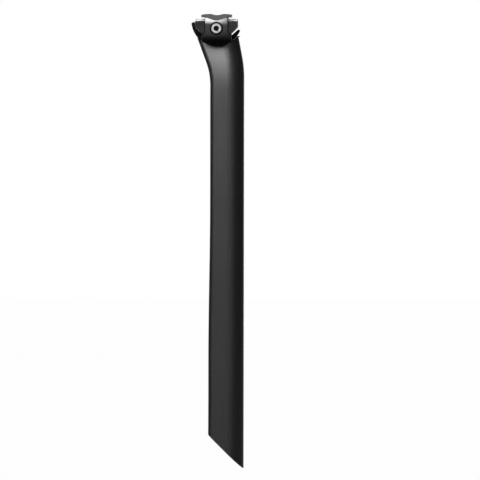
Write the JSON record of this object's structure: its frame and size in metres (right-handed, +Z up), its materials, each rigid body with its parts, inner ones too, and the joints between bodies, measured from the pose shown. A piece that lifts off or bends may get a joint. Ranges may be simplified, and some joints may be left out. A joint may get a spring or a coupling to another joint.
{
  "type": "bicycle seatpost",
  "caption": "Carbon bicycle seatpost of D section with a set-back head, an angled lower end and a tilting side clamp that grips two saddle rails with a cross bolt.",
  "frame": {"origin": "on the post's middle line at the minimum insertion height, 100 mm above the lowest tip", "axes": "+X towards the front of the bicycle, +Y to the rider's left, +Z up along the post"},
  "size_m": [0.0467, 0.0621, 0.406],
  "materials": {
    "carbon": "satin clear coat over black carbon fibre",
    "lug_alloy": "machined",
    "black_alloy": "black anodised",
    "dark_alloy": "matt black anodised, bare in the rail grooves",
    "gloss_alloy": "gloss black anodised",
    "bolt_steel": "plated",
    "black_steel": "black oxide"
  },
  "bodies": {
    "post_unit": {"post": "carbon", "head_lug": "lug_alloy"},
    "tilt_clamp": {"rocker": "black_alloy", "left_rail_cradle": "dark_alloy", "right_rail_cradle": "dark_alloy"},
    "right_jaw": {"right_outer_jaw": "gloss_alloy", "bolt_washer": "black_steel"},
    "left_jaw": {"left_outer_jaw": "gloss_alloy", "clamp_nut": "bolt_steel", "nut_washer": "black_steel"},
    "bolt": {"clamp_bolt": "bolt_steel"}
  },
  "joints": [
    {"name": "clamp_tilt", "type": "hinge", "parent": "post_unit", "child": "tilt_clamp", "pos_m": [-0.0086, 0, 0.3], "axis": [0, 1, 0], "range_deg": [-5, 25]},
    {"name": "right_jaw_slide", "type": "slide", "parent": "tilt_clamp", "child": "right_jaw", "axis": [0, -1, 0], "range_m": [0, 0.0025]},
    {"name": "left_jaw_slide", "type": "slide", "parent": "tilt_clamp", "child": "left_jaw", "axis": [0, 1, 0], "range_m": [0, 0.0025]},
    {"name": "bolt_turn", "type": "hinge", "parent": "right_jaw", "child": "bolt", "pos_m": [-0.0086, 0, 0.2935], "axis": [0, -1, 0], "range_deg": [0, 2250]}
  ],
  "couplings": [
    {"joint": "left_jaw_slide", "follows": "right_jaw_slide", "ratio": 1},
    {"joint": "bolt_turn", "follows": "right_jaw_slide", "rad_per_m": 15708}
  ]
}
